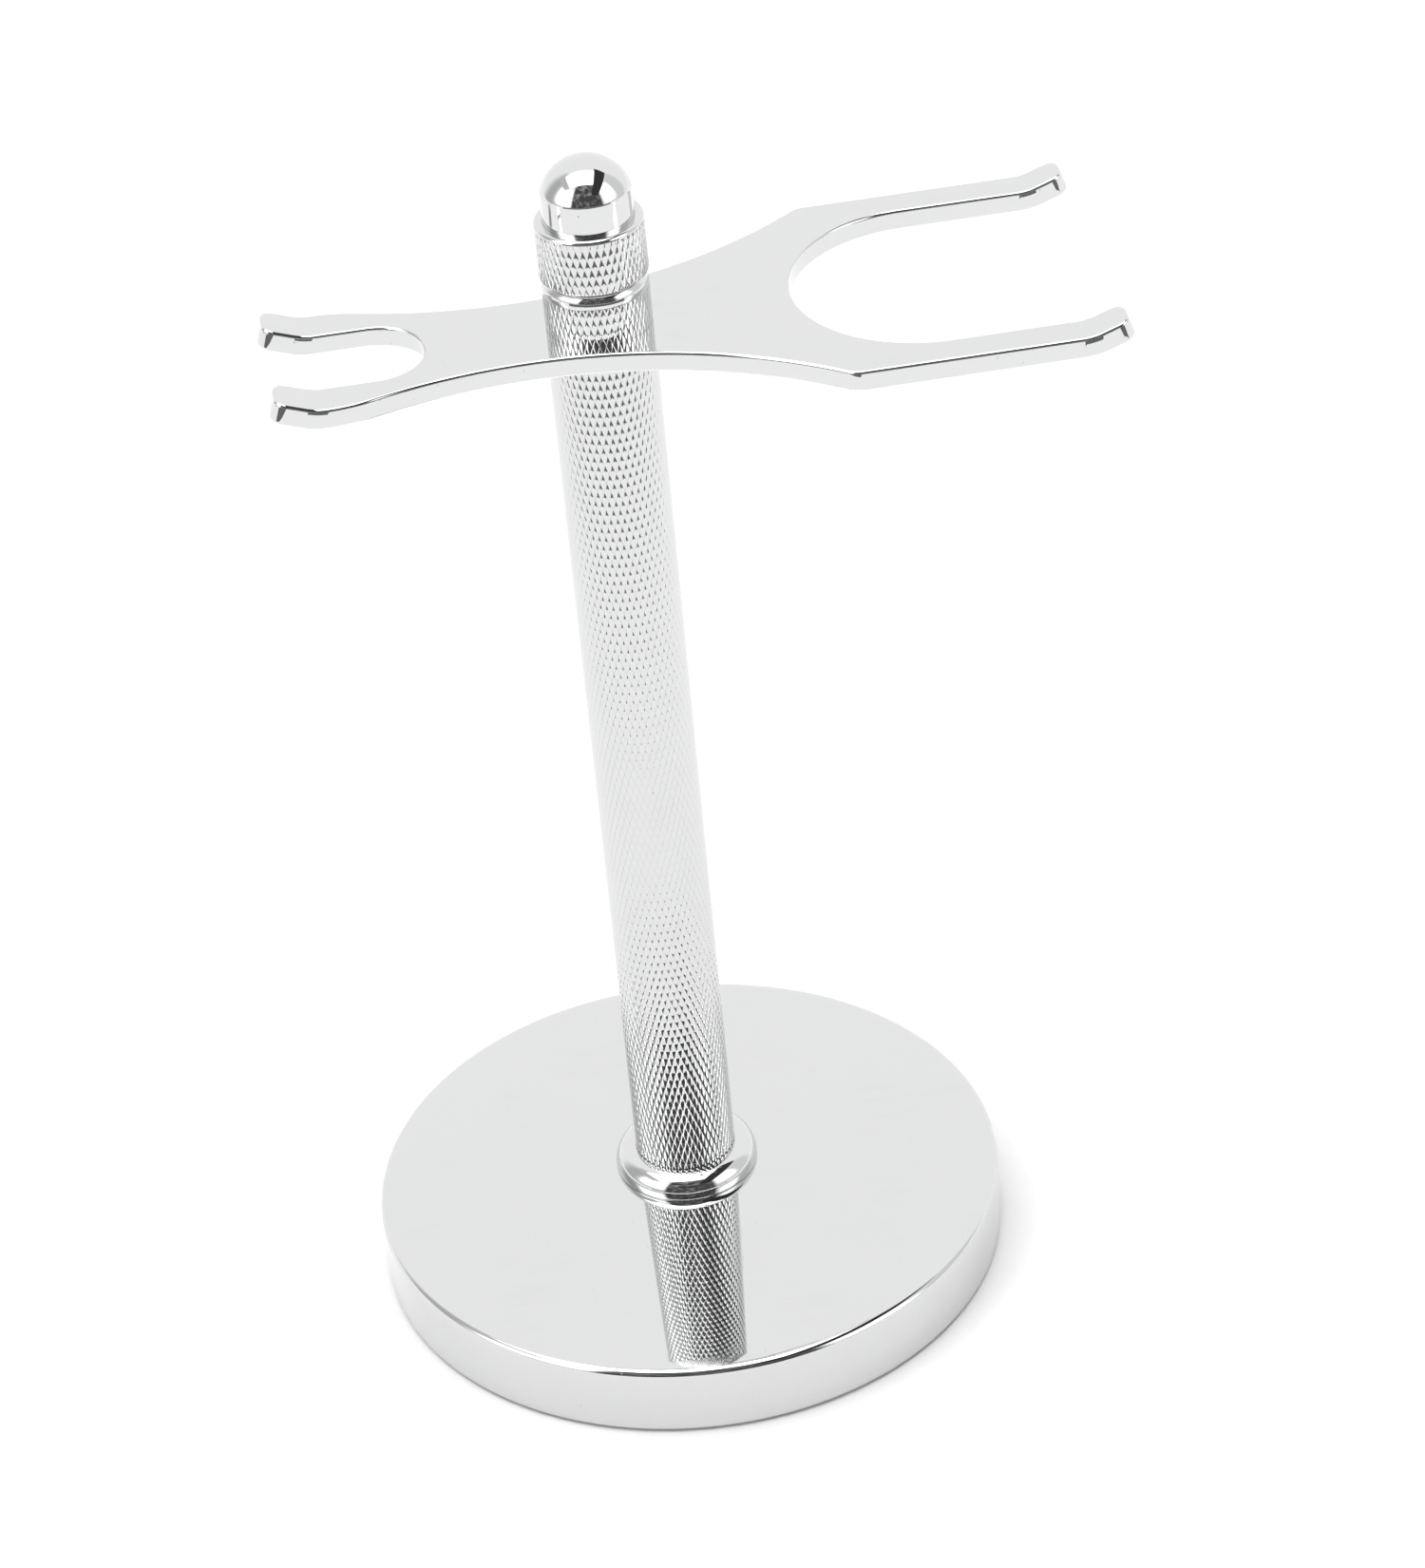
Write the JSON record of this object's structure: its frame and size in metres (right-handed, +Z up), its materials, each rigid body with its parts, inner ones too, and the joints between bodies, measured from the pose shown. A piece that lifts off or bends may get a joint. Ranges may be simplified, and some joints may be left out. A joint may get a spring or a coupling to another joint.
{
  "type": "razor and shaving brush stand",
  "caption": "Tabletop stand: round weighted base, knurled stem, and a turning plate with a wide brush fork and a narrow razor fork, clamped by a domed screw cap.",
  "frame": {"origin": "middle of the underside, where the pad rests on the table, on the stem's axis", "axes": "+Z up the stem; +X towards the brush fork, so the razor fork points along -X; +Y completes a right-handed frame"},
  "size_m": [0.0927, 0.075, 0.1465],
  "materials": {
    "polished_chrome": "mirror-polished chrome plate",
    "knurled_chrome": "diamond knurling under chrome plate",
    "brass": "turned brass, uncoated",
    "zinc_steel": "bright zinc plate",
    "pad_rubber": "matt closed-cell rubber, fine pebble grain"
  },
  "bodies": {
    "stand": {"base_disc": "polished_chrome", "base_pad": "pad_rubber", "base_screw": "zinc_steel", "base_lock_washer": "zinc_steel", "base_flat_washer": "zinc_steel", "foot_collar": "polished_chrome", "stem_tube": "knurled_chrome", "stem_lower_plug": "brass", "stem_upper_plug": "brass", "clamp_stud": "zinc_steel"},
    "holder": {"holder_plate": "polished_chrome", "upper_sleeve": "knurled_chrome"},
    "thrust_ring": {"thrust_ring": "polished_chrome"},
    "cap": {"cap_ring": "knurled_chrome", "cap_dome": "polished_chrome"}
  },
  "joints": [
    {"name": "holder_swivel", "type": "hinge", "parent": "stand", "child": "holder", "pos_m": [0, 0, 0.1254], "axis": [0, 0, 1], "continuous": true},
    {"name": "cap_lift", "type": "slide", "parent": "stand", "child": "thrust_ring", "axis": [0, 0, 1], "range_m": [0, 0.00641]},
    {"name": "cap_turn", "type": "hinge", "parent": "thrust_ring", "child": "cap", "pos_m": [0, 0, 0.136], "axis": [0, 0, 1], "range_deg": [0, 2880]}
  ],
  "couplings": [
    {"joint": "cap_lift", "follows": "cap_turn", "m_per_rad": 0.00012732}
  ]
}
